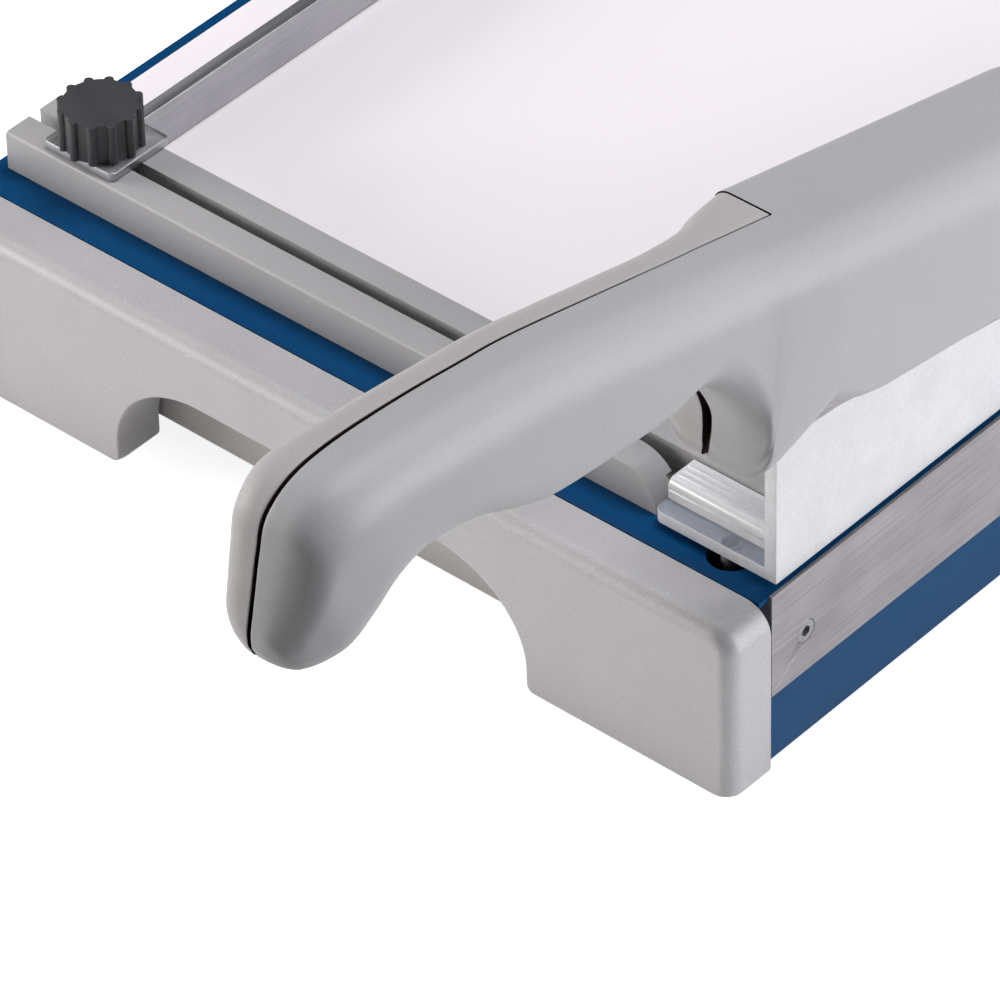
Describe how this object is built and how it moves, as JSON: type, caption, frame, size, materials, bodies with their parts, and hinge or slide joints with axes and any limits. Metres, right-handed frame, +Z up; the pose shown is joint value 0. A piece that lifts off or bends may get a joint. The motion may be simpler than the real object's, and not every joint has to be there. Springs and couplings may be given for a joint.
{
  "type": "paper cutter",
  "caption": "Desk lever paper cutter: table on four feet, slotted fences, sliding backstop, sprung clear guard and a hinged blade arm with a long moulded grip.",
  "frame": {"origin": "middle of the footprint of the cutter with its lever in the stored pose, on the surface that it stands on", "axes": "+Z up, +Y from the grip towards the hinge along the blades, +X to the right, towards the blade side"},
  "size_m": [0.3046, 0.6027, 0.2002],
  "materials": {
    "blue_paint": "satin powder coat, deep blue",
    "blue_extrusion": "satin powder coat over extruded aluminium, deep blue",
    "white_board": "smooth white laminate",
    "grey_paint": "matt warm grey paint",
    "panel_silver": "silver-grey moulding with a fine metallic sparkle",
    "fence_grey": "satin light grey",
    "zinc_steel": "zinc-plated, satin",
    "dark_steel": "black-oxide, satin",
    "rubber": "matt black rubber",
    "ground_steel": "fine ground and brushed along its length",
    "bronze": "turned bearing bronze",
    "handle_grey": "smooth light grey lacquer over a casting",
    "grip_grey": "smooth light grey satin moulding",
    "clear_plastic": "clear polished acrylic",
    "cup_grey": "dark grey satin plastic",
    "bar_silver": "satin anodised",
    "knob_dark": "dark grey satin plastic"
  },
  "bodies": {
    "table": {"table_top": "blue_paint", "worktop_board": "white_board", "side_rail": "blue_extrusion", "left_rail": "blue_extrusion", "front_rail": "grey_paint", "rear_rail": "grey_paint", "cross_braces": "grey_paint", "front_panel": "panel_silver", "rear_panel": "panel_silver", "panel_screws": "zinc_steel", "front_fence": "fence_grey", "rear_fence": "fence_grey", "fence_screws": "zinc_steel", "fence_nuts": "zinc_steel", "rubber_feet": "rubber", "foot_screws": "zinc_steel", "fixed_blade": "ground_steel", "fixed_blade_screws": "dark_steel", "hinge_bracket": "dark_steel", "bracket_screws": "dark_steel", "pivot_bolt": "zinc_steel", "thrust_washer": "bronze", "disc_springs": "dark_steel", "pivot_washer": "zinc_steel", "pivot_nut": "zinc_steel", "guard_bushes": "cup_grey", "guard_springs": "zinc_steel"},
    "lever": {"blade_arm": "handle_grey", "grip_half": "grip_grey", "handle_cover": "grip_grey", "grip_spacers": "zinc_steel", "cover_screws": "dark_steel", "lever_buffer": "rubber", "moving_blade": "ground_steel", "moving_blade_screws": "dark_steel", "pivot_bush": "bronze"},
    "guard": {"clamp_guard": "clear_plastic", "guard_posts": "zinc_steel", "guard_clips": "dark_steel"},
    "backstop": {"backstop_bar": "bar_silver", "backstop_slider": "zinc_steel"},
    "knob": {"backstop_knob": "knob_dark", "knob_screw": "zinc_steel"}
  },
  "joints": [
    {"name": "lever_hinge", "type": "hinge", "parent": "table", "child": "lever", "pos_m": [0.1248, 0.26432, 0.0657], "axis": [-1, 0, 0], "range_deg": [-8.2, 42]},
    {"name": "guard_press", "type": "slide", "parent": "table", "child": "guard", "axis": [0, 0, 1], "range_m": [-0.0013, 0], "stiffness_N_per_m": 400, "springref_m": 0.01, "deforming": ["guard_springs"]},
    {"name": "backstop_slide", "type": "slide", "parent": "table", "child": "backstop", "axis": [1, 0, 0], "range_m": [-0.01, 0.175]},
    {"name": "knob_turn", "type": "hinge", "parent": "backstop", "child": "knob", "pos_m": [-0.1212, -0.10524, 0.0697], "axis": [0, 0, 1], "range_deg": [-180, 180]}
  ]
}
